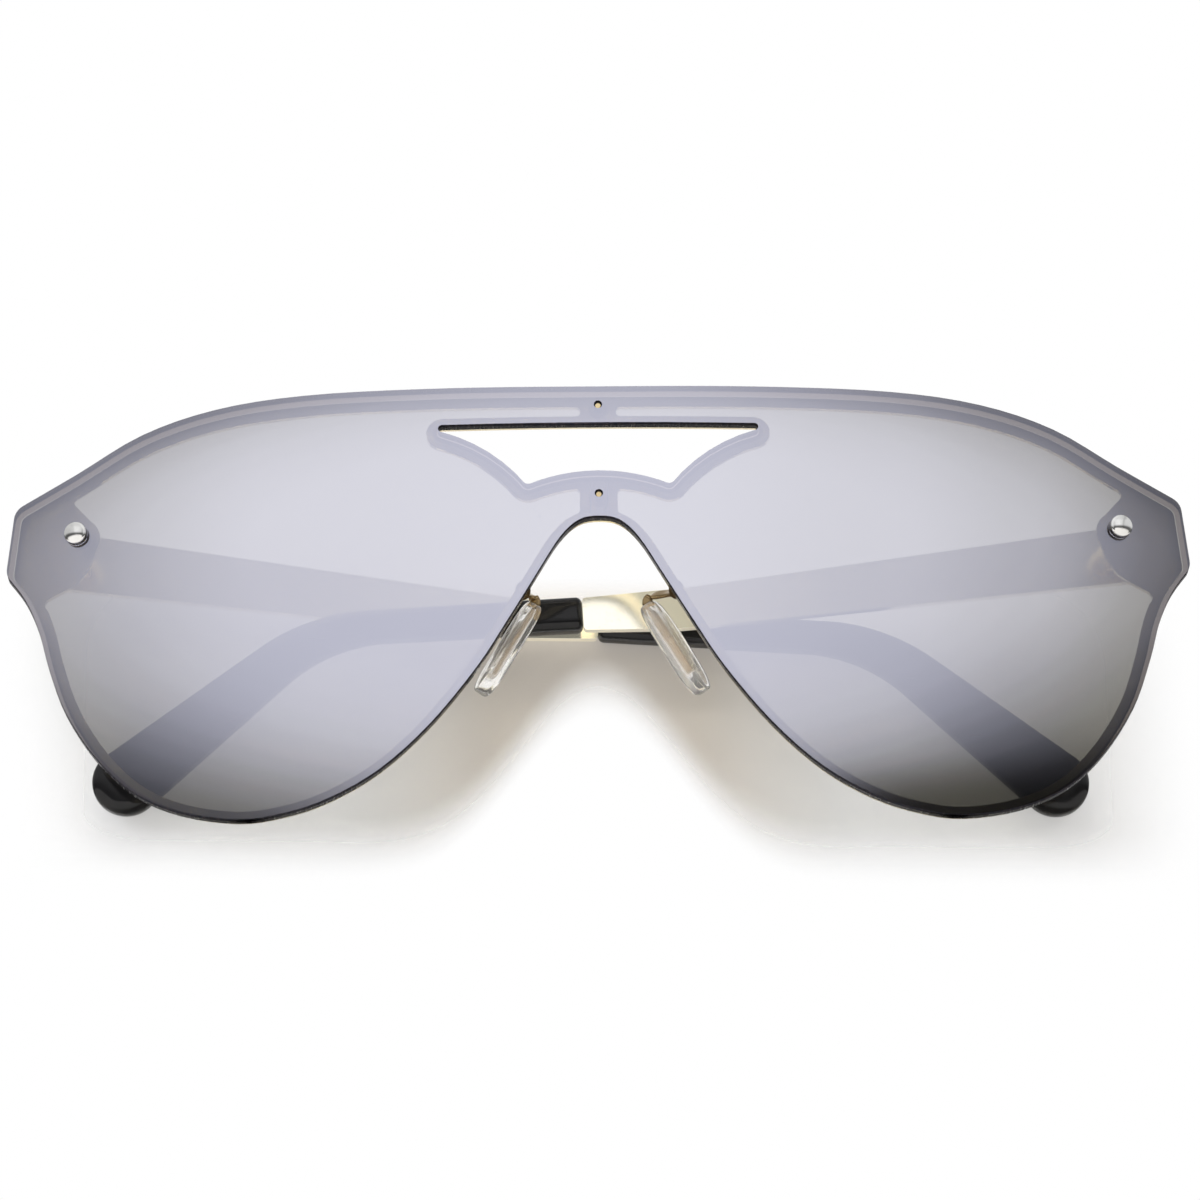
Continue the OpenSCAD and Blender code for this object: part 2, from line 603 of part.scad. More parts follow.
// An outline along the sleeve's middle line between two values of u
line_step = 2;
function along(from, to, half) = let (n = ceil((to - from)/line_step),
        us = [for (i = [0:n]) from + (to - from)*i/n])
    concat([for (u = us) sleeve_point(u) + half*across(sleeve_angle(u))],
        [for (i = [n:-1:0]) sleeve_point(us[i]) - half*across(sleeve_angle(us[i]))]);
// A flat solid between the outline's faces, centred on the bar's thickness
module blade(points, t) {
    translate([0, bar_mid + t/2, 0]) rotate([90, 0, 0]) linear_extrude(height = t) polygon(points);
}
module temple(side) {
    color("gold") in_place() at_temple(side) {
        blade(bar_outline(lap(side) - seat), bar_t);
        blade(along(lap(side) - overrun, sleeve_total*core_share, core_h/2), core_t);
    }
}

// Rings of the sleeve: its rounded mouth, its length and its round end
sleeve_sides = 20;
sleeve_bow = 0.6;
mouth_steps = 3;
cap_steps = 8;
cap_last = 84;
cap_bow = 0.6;
function sleeve_ring(u, less, side) = let (p = sleeve_point(u), n = across(sleeve_angle(u)))
    ring([p.x, bar_mid, p.y], [n.x, 0, n.y]*(sleeve_half_h(u, side) - less), [0, sleeve_t/2 - less, 0],
        sleeve_sides, sleeve_bow);
function cap_ring(a, side) = let (
        p = sleeve_point(sleeve_total + lap(side) + tip_r*sin(a)), n = across(sleeve_end_slope))
    ring([p.x, bar_mid, p.y], [n.x, 0, n.y]*tip_r*cos(a), [0, sleeve_t/2*pow(cos(a), cap_bow), 0],
        sleeve_sides, sleeve_bow);
function sleeve_stops(side) = concat([for (i = [1:4]) sleeve_l*i/4], [for (i = [1:8]) sleeve_l + bend_l*i/8],
    [for (i = [1:6]) sleeve_l + bend_l + (sleeve_end_l + lap(side))*i/6]);
function sleeve_rings(side) = concat(
    [for (i = [0:mouth_steps]) let (a = 90*i/mouth_steps)
        sleeve_ring(lap(side) + mouth_round*(1 - cos(a)), mouth_round*(1 - sin(a)), side)],
    [for (u = sleeve_stops(side)) sleeve_ring(u, 0, side)],
    [for (i = [1:cap_steps]) cap_ring(cap_last*i/cap_steps, side)]);
module temple_tip(side) {
    color("dimgray") in_place() at_temple(side) difference() {
        skin(sleeve_rings(side));
        blade(along(lap(side) - overrun, sleeve_total*core_share + seat, core_h/2 + core_play),
            core_t + 2*core_play);
    }
}

lens();
front_frame();
stud(left);  // stud_left
stud(right);  // stud_right
stud_washer(left);  // stud_washer_left
stud_washer(right);  // stud_washer_right
stud_nut(left);  // stud_nut_left
stud_nut(right);  // stud_nut_right
centre_pin(pin_z[0]);  // centre_pin_upper
centre_pin(pin_z[1]);  // centre_pin_lower
pad_arm(left);  // pad_arm_left
pad_arm(right);  // pad_arm_right
nose_pad(left);  // nose_pad_left
nose_pad(right);  // nose_pad_right
front_hinge(left);  // front_hinge_left
front_hinge(right);  // front_hinge_right
temple_hinge(left);  // temple_hinge_left
temple_hinge(right);  // temple_hinge_right
hinge_screw(left);  // hinge_screw_left
hinge_screw(right);  // hinge_screw_right
temple(left);  // temple_left
temple(right);  // temple_right
temple_tip(left);  // temple_tip_left
temple_tip(right);  // temple_tip_right
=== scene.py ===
import math

import bmesh
import bpy
from mathutils import Matrix, Vector


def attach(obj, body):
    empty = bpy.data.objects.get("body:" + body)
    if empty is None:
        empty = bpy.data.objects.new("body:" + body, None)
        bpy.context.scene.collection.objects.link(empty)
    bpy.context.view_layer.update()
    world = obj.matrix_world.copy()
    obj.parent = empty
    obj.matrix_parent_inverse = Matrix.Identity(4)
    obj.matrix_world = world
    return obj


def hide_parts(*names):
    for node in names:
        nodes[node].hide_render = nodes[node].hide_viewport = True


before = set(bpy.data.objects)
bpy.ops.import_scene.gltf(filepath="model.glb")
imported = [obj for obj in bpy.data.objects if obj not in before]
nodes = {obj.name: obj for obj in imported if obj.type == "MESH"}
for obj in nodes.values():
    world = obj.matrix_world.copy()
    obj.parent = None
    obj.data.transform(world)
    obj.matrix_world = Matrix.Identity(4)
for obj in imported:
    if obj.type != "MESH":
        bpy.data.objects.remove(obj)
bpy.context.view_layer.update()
scene = bpy.context.scene
mm = 0.001
print("frame loaded with", len(nodes), "nodes")

# camera: a long lens a little below the foot of the glasses, in metres and degrees
cameraSet = {
    "aim": (0, -0.01199, 0.02644),
    "away": 0.6995,
    "side": 0.6,
    "below": 19.88,
    "roll": -0.597,
    "focal": 173.93,
    "sensor": 36,
    "clip": (0.01, 20),
}


def makeCamera(c):
    side, below = math.radians(c["side"]), math.radians(c["below"])
    level = math.cos(below)
    back = Vector((-math.sin(side) * level, -math.cos(side) * level, -math.sin(below)))
    cam = bpy.data.objects.new("camera", bpy.data.cameras.new("camera"))
    scene.collection.objects.link(cam)
    cam.location = Vector(c["aim"]) + back * c["away"]
    roll = Matrix.Rotation(math.radians(c["roll"]), 4, "Z")
    turn = (-back).to_track_quat("-Z", "Y").to_matrix().to_4x4() @ roll
    cam.rotation_euler = turn.to_euler()
    cam.data.lens = c["focal"]
    cam.data.sensor_width = c["sensor"]
    cam.data.clip_start, cam.data.clip_end = c["clip"]
    scene.camera = cam


makeCamera(cameraSet)

black, white = (0, 0, 0, 1), (1, 1, 1, 1)


# small helpers for shader trees
def node(tree, kind, **values):
    n = tree.nodes.new(kind)
    for key, value in values.items():
        setattr(n, key, value)
    return n


def feed(tree, value, socket):
    if isinstance(value, bpy.types.NodeSocket):
        tree.links.new(value, socket)
    elif value is not None:
        socket.default_value = value


def sums(tree, what, a, b=None, c=None, clamp=False):
    n = node(tree, "ShaderNodeMath", operation=what, use_clamp=clamp)
    for i, value in enumerate((a, b, c)):
        feed(tree, value, n.inputs[i])
    return n.outputs[0]


def ramp(tree, value, stops, smooth):
    n = node(tree, "ShaderNodeValToRGB")
    n.color_ramp.interpolation = smooth
    while len(n.color_ramp.elements) < len(stops):
        n.color_ramp.elements.new(0.5)
    for el, (at, level) in zip(n.color_ramp.elements, stops):
        el.position = at
        el.color = (level, level, level, 1)
    feed(tree, value, n.inputs[0])
    return n.outputs[0]


def spread(tree, value, low, high, toLow=0.0, toHigh=1.0, how="LINEAR"):
    n = node(tree, "ShaderNodeMapRange", clamp=True, interpolation_type=how)
    feed(tree, value, n.inputs["Value"])
    for key, v in (("From Min", low), ("From Max", high), ("To Min", toLow), ("To Max", toHigh)):
        n.inputs[key].default_value = v
    return n.outputs[0]


def mixColour(tree, share, a, b, how="MIX"):
    n = node(tree, "ShaderNodeMix", data_type="RGBA", blend_type=how)
    feed(tree, share, n.inputs[0])
    feed(tree, a, n.inputs[6])
    feed(tree, b, n.inputs[7])
    return n.outputs[2]


def placeOn(tree):
    return node(tree, "ShaderNodeTexCoord").outputs["Object"]


def split(tree, vector):
    n = node(tree, "ShaderNodeSeparateXYZ")
    tree.links.new(vector, n.inputs[0])
    return n.outputs


def seenShare(tree):
    # 1 where the camera sees it, straight or through glass
    path = node(tree, "ShaderNodeLightPath")
    return sums(tree, "MAXIMUM", path.outputs["Is Camera Ray"], path.outputs["Is Transmission Ray"])


def frontShare(tree):
    back = node(tree, "ShaderNodeNewGeometry").outputs["Backfacing"]
    return sums(tree, "SUBTRACT", 1.0, back)


# world: white to the camera, a studio of soft cards to gloss, a plain grey to the rest
worldSet = {
    "plain": (0.43, 0.40, 0.365, 1),
    # brightness of the cards from the left to the right, and from below to overhead
    "across": [(0.0, 0.6), (0.24, 0.74), (0.36, 0.97), (0.52, 1.0), (0.64, 0.9), (0.7, 0.8), (0.76, 0.54),
        (0.83, 0.75), (1.0, 0.75)],
    "upward": [(0.0, 0.35), (0.42, 0.16), (0.53, 0.16), (0.60, 0.7), (0.64, 1.0), (0.86, 1.0), (1.0, 0.8)],
}


def makeWorld(w):
    world = bpy.data.worlds.new("studio")
    scene.world = world
    world.use_nodes = True
    t = world.node_tree
    t.nodes.clear()
    where = split(t, node(t, "ShaderNodeTexCoord").outputs["Generated"])
    # the direction's -1 to 1 becomes 0 to 1
    across = ramp(t, sums(t, "MULTIPLY_ADD", where[0], 0.5, 0.5), w["across"], "EASE")
    upward = ramp(t, sums(t, "MULTIPLY_ADD", where[2], 0.5, 0.5), w["upward"], "EASE")
    gloss = mixColour(t, 1.0, across, upward, "MULTIPLY")
    path = node(t, "ShaderNodeLightPath")
    colour = mixColour(t, path.outputs["Is Glossy Ray"], w["plain"], gloss)
    colour = mixColour(t, seenShare(t), colour, white)
    back = node(t, "ShaderNodeBackground")
    t.links.new(colour, back.inputs[0])
    t.links.new(back.outputs[0], node(t, "ShaderNodeOutputWorld").inputs[0])


makeWorld(worldSet)

# lamps: broad and soft, at a plain level; metal and lens mirror the studio's cards and not the lamps
lampSet = {
    "aim": (0, 0, 0.03),
    # place, size, power and colour
    "lamps": {
        "overhead": ((-0.12, -0.42, 0.72), 0.5, 13.0, (1, 0.985, 0.96)),
        "left fill": ((-0.7, -0.5, 0.35), 0.5, 5.0, (0.96, 0.98, 1)),
        "right fill": ((0.65, -0.35, 0.4), 0.4, 2.0, (1, 0.98, 0.95)),
    },
}


def makeLamp(name, place, size, power, colour):
    data = bpy.data.lights.new(name, "AREA")
    data.shape, data.size, data.energy, data.color = "DISK", size, power, colour
    lamp = bpy.data.objects.new(name, data)
    scene.collection.objects.link(lamp)
    lamp.location = place
    lamp.visible_glossy = False
    lamp.rotation_euler = (Vector(lampSet["aim"]) - Vector(place)).to_track_quat("-Z", "Y").to_euler()


for lampName, lampRow in lampSet["lamps"].items():
    makeLamp(lampName, *lampRow)

# floor: pale, one-sided, fading out into the white round it
floorSet = {
    "rings": (0.02, 0.06, 0.12, 0.2, 0.34),
    "sides": 64,
    "fade": (0.16, 0.34),
    "tone": (0.46, 0.457, 0.454, 1),
    "rough": 0.7,
    "lift": 0.4,
}


def makeFloor(f):
    mesh = bpy.data.meshes.new("floor")
    bm = bmesh.new()
    n = f["sides"]
    turns = [a * math.tau / n for a in range(n)]
    rows = [[bm.verts.new((r * math.cos(a), r * math.sin(a), 0)) for a in turns] for r in f["rings"]]
    bm.faces.new(rows[0])
    for inner, outer in zip(rows, rows[1:]):
        for k in range(n):
            m = (k + 1) % n
            bm.faces.new((inner[k], outer[k], outer[m], inner[m]))
    bm.to_mesh(mesh)
    bm.free()
    floor = bpy.data.objects.new("floor", mesh)
    scene.collection.objects.link(floor)
    mat = bpy.data.materials.new("floor_white")
    mat.use_nodes = True
    t = mat.node_tree
    shader = t.nodes["Principled BSDF"]
    shader.inputs["Base Color"].default_value = f["tone"]
    shader.inputs["Roughness"].default_value = f["rough"]
    shader.inputs["Emission Color"].default_value = white
    t.links.new(sums(t, "MULTIPLY", seenShare(t), f["lift"]), shader.inputs["Emission Strength"])
    far = node(t, "ShaderNodeVectorMath", operation="LENGTH")
    t.links.new(placeOn(t), far.inputs[0])
    fade = spread(t, far.outputs["Value"], *f["fade"], 1.0, 0.0)
    t.links.new(sums(t, "MULTIPLY", fade, frontShare(t)), shader.inputs["Alpha"])
    mesh.materials.append(mat)


makeFloor(floorSet)

# the table that the folded temples lie against: a faint one-sided sheet that takes their shadow, in metres
tableSet = {
    "behind": 0.00930,
    "turn": 3.034,
    "wide": 0.1,
    "low": -0.003,
    "high": 0.05,
    "rough": 0.6,
    "tone": (0.57, 0.58, 0.60, 1),
    "gapShadeTint": (0.575, 0.53, 0.475, 1),
    "lift": (0.02, 0.01, 0.0, 1),
    # how much it covers behind the lens and in the nose gap, and where one passes into the other
    "cover": 0.57,
    "inGap": 0.84,
    "gap": (0.012, 0.03),
    "coverGap": (0.014, 0.034),
    "gapTop": (0.033, 0.037),
    # its foot rises in a hill in the nose gap, and its edges are soft
    "hill": 0.0215,
    "hillWide": 0.014,
    "soft": 0.009,
    "sides": (0.055, 0.075),
    "topFrom": 0.026,
    "slanting": (0.1, 0.17),
}


def makeTable(s):
    mesh = bpy.data.meshes.new("table")
    w, y, low, high = s["wide"], s["behind"], s["low"], s["high"]
    slant = w * math.tan(math.radians(s["turn"]))  # it lies along the left temple, which rests on the right one
    corners = [(-w, y - slant, low), (w, y + slant, low), (w, y + slant, high), (-w, y - slant, high)]
    mesh.from_pydata(corners, [], [(0, 1, 2, 3)])
    table = bpy.data.objects.new("table", mesh)
    scene.collection.objects.link(table)
    mat = bpy.data.materials.new("table_white")
    mat.use_nodes = True
    t = mat.node_tree
    shader = t.nodes["Principled BSDF"]
    shader.inputs["Roughness"].default_value = s["rough"]
    shader.inputs["Emission Color"].default_value = s["lift"]
    t.links.new(seenShare(t), shader.inputs["Emission Strength"])
    where = split(t, placeOn(t))
    wide = sums(t, "ABSOLUTE", where[0])
    gap = spread(t, wide, *s["gap"], 1.0, 0.0)
    # painted shade colour: the sheet is warmer in the nose gap, so the shadow there shows brown
    t.links.new(mixColour(t, gap, s["tone"], s["gapShadeTint"]), shader.inputs["Base Color"])
    cover = spread(t, wide, *s["coverGap"], s["inGap"], s["cover"])
    # nothing of it shows over the temples in the nose gap
    under = spread(t, where[2], *s["gapTop"], 1.0, 0.0)
    under = sums(t, "MULTIPLY_ADD", gap, sums(t, "SUBTRACT", under, 1.0), 1.0)
    cover = sums(t, "MULTIPLY", cover, under)
    # its foot follows the two lobes of the lens, with a hill between them
    bell = sums(t, "DIVIDE", where[0], s["hillWide"])
    bell = sums(t, "EXPONENT", sums(t, "MULTIPLY", sums(t, "MULTIPLY", bell, bell), -1.0))
    foot = sums(t, "MULTIPLY_ADD", bell, s["hill"], low)
    over = sums(t, "SUBTRACT", where[2], foot)
    for value, full, none in ((wide, *s["sides"]), (where[2], s["topFrom"], high), (over, s["soft"], 0.0)):
        cover = sums(t, "MULTIPLY", cover, spread(t, value, full, none, 1.0, 0.0, "SMOOTHSTEP"))
    # it fades out to a slanting view
    facing = node(t, "ShaderNodeLayerWeight")
    facing.inputs["Blend"].default_value = 0.5
    cover = sums(t, "MULTIPLY", cover, spread(t, facing.outputs["Facing"], *s["slanting"], 1.0, 0.0))
    t.links.new(sums(t, "MULTIPLY", cover, frontShare(t)), shader.inputs["Alpha"])
    mesh.materials.append(mat)
    table.visible_shadow = False


makeTable(tableSet)
print("camera, world, lamps, floor and table made")


# shader groups that several finishes share; a noise is its size, detail, roughness and stretch
def startGroup(name, ins, outs):
    g = bpy.data.node_groups.new(name, "ShaderNodeTree")
    for label, start in ins.items():
        kind = "NodeSocketColor" if isinstance(start, tuple) else "NodeSocketFloat"
        s = g.interface.new_socket(name=label, in_out="INPUT", socket_type=kind)
        s.default_value = start
    for label in outs:
        kind = "NodeSocketColor" if label == "Colour" else "NodeSocketFloat"
        g.interface.new_socket(name=label, in_out="OUTPUT", socket_type=kind)
    return g, node(g, "NodeGroupInput").outputs, node(g, "NodeGroupOutput").inputs


def noise(tree, vector, size, detail, rough=0.55, stretch=None):
    if stretch:
        m = node(tree, "ShaderNodeMapping")
        m.inputs["Scale"].default_value = stretch
        tree.links.new(vector, m.inputs[0])
        vector = m.outputs[0]
    n = node(tree, "ShaderNodeTexNoise")
    n.inputs["Scale"].default_value = 1 / size
    n.inputs["Detail"].default_value = detail
    n.inputs["Roughness"].default_value = rough
    tree.links.new(vector, n.inputs["Vector"])
    return n.outputs["Fac"]


# what hands leave: smears, fine scratches both ways, and a slight swell under them
handlingSet = {
    "smear": (9 * mm, 4),
    "smearFrom": (0.42, 0.68),
    "lines": (0.35 * mm, 2, 0.5, (0.05, 1, 1)),
    "linesFrom": (0.60, 0.74),
    "cross": (0.3 * mm, 2, 0.5, (1, 1, 0.07)),
    "crossFrom": (0.62, 0.76),
    "swell": (1.5 * mm, 3),
    "markDepth": -0.5,
}


def makeHandling(s):
    ins = {"Rough": 0.1, "Smudge": 0.1, "Scratch": 0.05}
    g, i, o = startGroup("handling", ins, ("Roughness", "Height"))
    place = placeOn(g)
    smear = spread(g, noise(g, place, *s["smear"]), *s["smearFrom"])
    lines = spread(g, noise(g, place, *s["lines"]), *s["linesFrom"])
    cross = spread(g, noise(g, place, *s["cross"]), *s["crossFrom"])
    marks = sums(g, "MAXIMUM", lines, cross)
    rough = sums(g, "MULTIPLY_ADD", smear, i["Smudge"], i["Rough"])
    rough = sums(g, "MULTIPLY_ADD", marks, i["Scratch"], rough)
    g.links.new(rough, o["Roughness"])
    swell = noise(g, place, *s["swell"])
    g.links.new(sums(g, "MULTIPLY_ADD", marks, s["markDepth"], swell), o["Height"])
    return g


# plated or drawn metal: cloudy wear, a fine grain and a few pits
platingSet = {
    "cloud": (6 * mm, 4, 0.6),
    "cloudFrom": (0.38, 0.72),
    "grain": (0.22 * mm, 3, 0.6),
    "pits": (0.5 * mm, 2),
    "pitsFrom": (0.66, 0.74),
    "shade": {"cloud": 0.45, "pits": 0.5},
    "rough": {"grain": 0.08, "cloud": 0.06},
    "height": {"pits": -0.8, "grain": 0.35},
}


def makePlating(s):
    ins = {"Bright": (1, 0.9, 0.7, 1), "Deep": (0.8, 0.6, 0.3, 1), "Rough": 0.12}
    g, i, o = startGroup("plating", ins, ("Colour", "Roughness", "Height"))
    place = placeOn(g)
    cloud = spread(g, noise(g, place, *s["cloud"]), *s["cloudFrom"])
    grain = noise(g, place, *s["grain"])
    pits = spread(g, noise(g, place, *s["pits"]), *s["pitsFrom"])
    pitShade = sums(g, "MULTIPLY", pits, s["shade"]["pits"])
    shade = sums(g, "MULTIPLY_ADD", cloud, s["shade"]["cloud"], pitShade, clamp=True)
    g.links.new(mixColour(g, shade, i["Bright"], i["Deep"]), o["Colour"])
    rough = sums(g, "MULTIPLY_ADD", grain, s["rough"]["grain"], i["Rough"])
    g.links.new(sums(g, "MULTIPLY_ADD", cloud, s["rough"]["cloud"], rough), o["Roughness"])
    grainHeight = sums(g, "MULTIPLY", grain, s["height"]["grain"])
    g.links.new(sums(g, "MULTIPLY_ADD", pits, s["height"]["pits"], grainHeight), o["Height"])
    return g


# painted light on the lens: the mirror's brightness falls from the middle towards the edges, a painted reflection of
# the studio
paintedLensLightSet = {
    "Across": -2 * mm,
    "Middle": 33.5 * mm,
    "Half width": 83 * mm,
    "Above": 28 * mm,
    "Below": 38 * mm,
    # its foot comes up to both sides, and a little more to the viewer's right
    "sideRise": 0.05,
    "rightRise": 0.03,
    # from the middle outwards: how far, and how much painted mirror brightness is left
    "reach": 0.8,
    "stops": [(0.0, 1.0), (0.4, 0.98), (0.5, 0.91), (0.55, 0.85), (0.6, 0.75), (0.66, 0.59), (0.7, 0.46),
        (0.74, 0.33), (0.79, 0.19), (0.85, 0.08), (1.0, 0.0)],
    # the painted mirror brightness ends sooner in the lower corner at the viewer's right
    "cornerSlope": -0.12,
    "corner": (-4 * mm, 3.5 * mm, 0.2),
    # painted shade: the smoke is darker at the foot and in that corner, standing in for the shadow behind the lens's
    # foot
    "footPaintedShade": (1 * mm, 8 * mm, 0.75),
    "cornerPaintedShade": (-2 * mm, 7 * mm, 0.64),
    "wave": (14 * mm, 2, 0.4),
}


def makePaintedLensLight(s):
    ins = {label: s[label] for label in ("Across", "Middle", "Half width", "Above", "Below")}
    g, i, o = startGroup("painted lens light", ins, ("Level", "Low", "Height"))
    place = placeOn(g)
    where = split(g, place)
    x, z = where[0], where[2]
    wide = sums(g, "DIVIDE", sums(g, "SUBTRACT", x, i["Across"]), i["Half width"])
    rise = sums(g, "SUBTRACT", z, i["Middle"])
    right = sums(g, "MULTIPLY", x, s["rightRise"])
    fall = sums(g, "MULTIPLY_ADD", sums(g, "ABSOLUTE", x), s["sideRise"], right)
    fall = sums(g, "SUBTRACT", fall, rise)
    high = sums(g, "MAXIMUM", sums(g, "DIVIDE", rise, i["Above"]), sums(g, "DIVIDE", fall, i["Below"]))
    far = sums(g, "SQRT", sums(g, "MULTIPLY_ADD", high, high, sums(g, "MULTIPLY", wide, wide)))
    # painted reflection: how bright the mirror is at each place on the lens
    level = ramp(g, sums(g, "MULTIPLY", far, s["reach"]), s["stops"], "CARDINAL")
    corner = sums(g, "MULTIPLY_ADD", x, s["cornerSlope"], z)
    inCorner = spread(g, corner, *s["corner"], 1.0, "SMOOTHSTEP")
    g.links.new(sums(g, "MULTIPLY", level, inCorner), o["Level"])
    # painted shade for the smoke, darkest at the foot and in the corner
    footPaintedShade, cornerPaintedShade = spread(g, z, *s["footPaintedShade"]), spread(g, corner, *s["cornerPaintedShade"])
    g.links.new(sums(g, "MULTIPLY", footPaintedShade, cornerPaintedShade), o["Low"])
    g.links.new(noise(g, place, *s["wave"]), o["Height"])
    return g


groups = {"handling": makeHandling(handlingSet), "plating": makePlating(platingSet), "fade": makePaintedLensLight(paintedLensLightSet)}


# finishes
def startFinish(name, **sockets):
    mat = bpy.data.materials.new(name)
    mat.use_nodes = True
    shader = mat.node_tree.nodes["Principled BSDF"]
    for key, value in sockets.items():
        shader.inputs[key.replace("_", " ")].default_value = value
    return mat, mat.node_tree, shader.inputs


def useGroup(tree, key, **values):
    n = node(tree, "ShaderNodeGroup", node_tree=groups[key])
    for label, value in values.items():
        n.inputs[label].default_value = value
    return n.outputs


def bumpFrom(tree, height, sockets, depth, strength=0.6):
    b = node(tree, "ShaderNodeBump")
    b.inputs["Strength"].default_value = strength
    b.inputs["Distance"].default_value = depth
    tree.links.new(height, b.inputs["Height"])
    tree.links.new(b.outputs[0], sockets["Normal"])


# bright colour, deep colour, roughness and depth of the relief
metalSet = {
    "frame_gold": ((0.93, 0.84, 0.62), (0.70, 0.56, 0.33), 0.12, 0.006 * mm),
    "frame_dull": ((0.42, 0.37, 0.29), (0.28, 0.24, 0.18), 0.35, 0.006 * mm),
    "stud_chrome": ((0.86, 0.86, 0.85), (0.62, 0.61, 0.60), 0.05, 0.003 * mm),
    # painted shade: a dark, dull metal for the stud head's upright side
    "stud_painted_shade": ((0.10, 0.09, 0.08), (0.05, 0.045, 0.04), 0.25, 0.006 * mm),
    "washer_steel": ((0.70, 0.70, 0.69), (0.48, 0.47, 0.46), 0.22, 0.006 * mm),
    "nut_brass": ((0.86, 0.70, 0.42), (0.60, 0.42, 0.20), 0.2, 0.006 * mm),
    # painted shade: the arms' gold is darkened, standing in for the shade they lie in
    "arm_gold": ((0.31, 0.225, 0.12), (0.10, 0.06, 0.025), 0.16, 0.012 * mm),
    "hinge_gold": ((0.78, 0.67, 0.46), (0.48, 0.36, 0.20), 0.22, 0.01 * mm),
    "screw_steel": ((0.66, 0.65, 0.63), (0.40, 0.38, 0.36), 0.2, 0.006 * mm),
}
barSet = {
    "metal": ((1.0, 0.965, 0.83), (1.0, 0.91, 0.70), 0.08, 0.003 * mm),
    "metallic": 0.97,
    # painted light: its end, which shows in the nose gap, glows a little of its own though it is no lamp
    "paintedGlow": (0.20, 0.19, 0.155, 1),
    "paintedGlowWide": (6 * mm, 40 * mm),
}


def metalFinish(name, bright, deep, rough, depth, metallic=1.0):
    mat, t, sockets = startFinish(name, Metallic=metallic)
    plate = useGroup(t, "plating", Bright=(*bright, 1), Deep=(*deep, 1), Rough=rough)
    t.links.new(plate["Colour"], sockets["Base Color"])
    t.links.new(plate["Roughness"], sockets["Roughness"])
    bumpFrom(t, plate["Height"], sockets, depth)
    return mat


def barFinish(s):
    mat = metalFinish("bar_gold", *s["metal"], s["metallic"])
    t = mat.node_tree
    sockets = t.nodes["Principled BSDF"].inputs
    # painted light: an emitted glow on the bar, strongest near the middle and gone past the glow's width
    sockets["Emission Strength"].default_value = 1.0
    across = sums(t, "ABSOLUTE", split(t, placeOn(t))[0])
    near = spread(t, across, *s["paintedGlowWide"], 1.0, 0.0, "SMOOTHSTEP")
    t.links.new(mixColour(t, near, black, s["paintedGlow"]), sockets["Emission Color"])
    return mat


# the lens: what it is made of, and its strip and rounding in metres
lensSet = {
    "mirror": (0.82, 0.83, 1.0),
    "cover": 0.62,
    "tint": (0.25, 0.23, 0.155),
    "rim": (0.085, 0.06, 0.04),
    "dust": 0.6,
    "specks": (0.8 * mm, 2),
    "specksFrom": (0.7, 0.78),
    "edge": (0.012, 0.014, 0.024),
    "edgePale": (0.035, 0.028, 0.03),
    "polish": (0.25 * mm, 3, 0.6, (1, 0.12, 1)),
    "polishFrom": (0.3, 0.7),
    "edgeRough": (0.14, 0.32),
    "rimWide": 0.66 * mm,
    "round": 0.16 * mm,
    "thick": 1.8 * mm,
    "flat": 0.05,
    "facing": 0.8,
}


def mirrorFinish(s):
    mat, t, sockets = startFinish("lens_mirror", Metallic=1.0, Alpha=s["cover"])
    fade = useGroup(t, "fade")
    # the mirror's colour carries the painted reflection
    t.links.new(mixColour(t, fade["Level"], black, (*s["mirror"], 1)), sockets["Base Color"])
    hand = useGroup(t, "handling", Rough=0.035, Smudge=0.02, Scratch=0.03)
    t.links.new(hand["Roughness"], sockets["Roughness"])
    bumpFrom(t, fade["Height"], sockets, depth=0.004 * mm, strength=0.25)
    return mat


def smokeFinish(s, name, tint):
    mat, t, sockets = startFinish(name, Transmission_Weight=1.0, Metallic=0.0, IOR=1.01, Roughness=0.0,
        Coat_Roughness=0.05, Coat_IOR=1.5)
    specks = spread(t, noise(t, placeOn(t), *s["specks"]), *s["specksFrom"])
    dusty = tuple(v * s["dust"] for v in tint)
    tint = mixColour(t, specks, (*tint, 1), (*dusty, 1))
    # painted shade: the smoke's tint darkens towards the foot and the corner
    low = useGroup(t, "fade")["Low"]
    t.links.new(mixColour(t, sums(t, "MULTIPLY", low, low), black, tint), sockets["Base Color"])
    hand = useGroup(t, "handling", Rough=0.7, Smudge=-0.3, Scratch=0.1)
    t.links.new(hand["Roughness"], sockets["Coat Weight"])
    return mat


def edgeFinish(s):
    mat, t, sockets = startFinish("lens_edge", IOR=1.5, Specular_IOR_Level=0.25)
    polish = noise(t, placeOn(t), *s["polish"])
    share = spread(t, polish, *s["polishFrom"])
    t.links.new(mixColour(t, share, (*s["edge"], 1), (*s["edgePale"], 1)), sockets["Base Color"])
    t.links.new(spread(t, polish, *s["polishFrom"], *s["edgeRough"]), sockets["Roughness"])
    bumpFrom(t, polish, sockets, depth=0.01 * mm, strength=0.4)
    return mat


# moulded plastics: the black sleeves and the clear pads
blackSet = {"flow": (3 * mm, 3, 0.5), "deep": (0.004, 0.004, 0.005, 1), "pale": (0.009, 0.009, 0.010, 1)}
clearSet = {"cloud": (2.2 * mm, 4, 0.6), "cloudFrom": (0.35, 0.75), "fresh": (0.985, 0.98, 0.97, 1),
    "aged": (0.93, 0.905, 0.87, 1)}


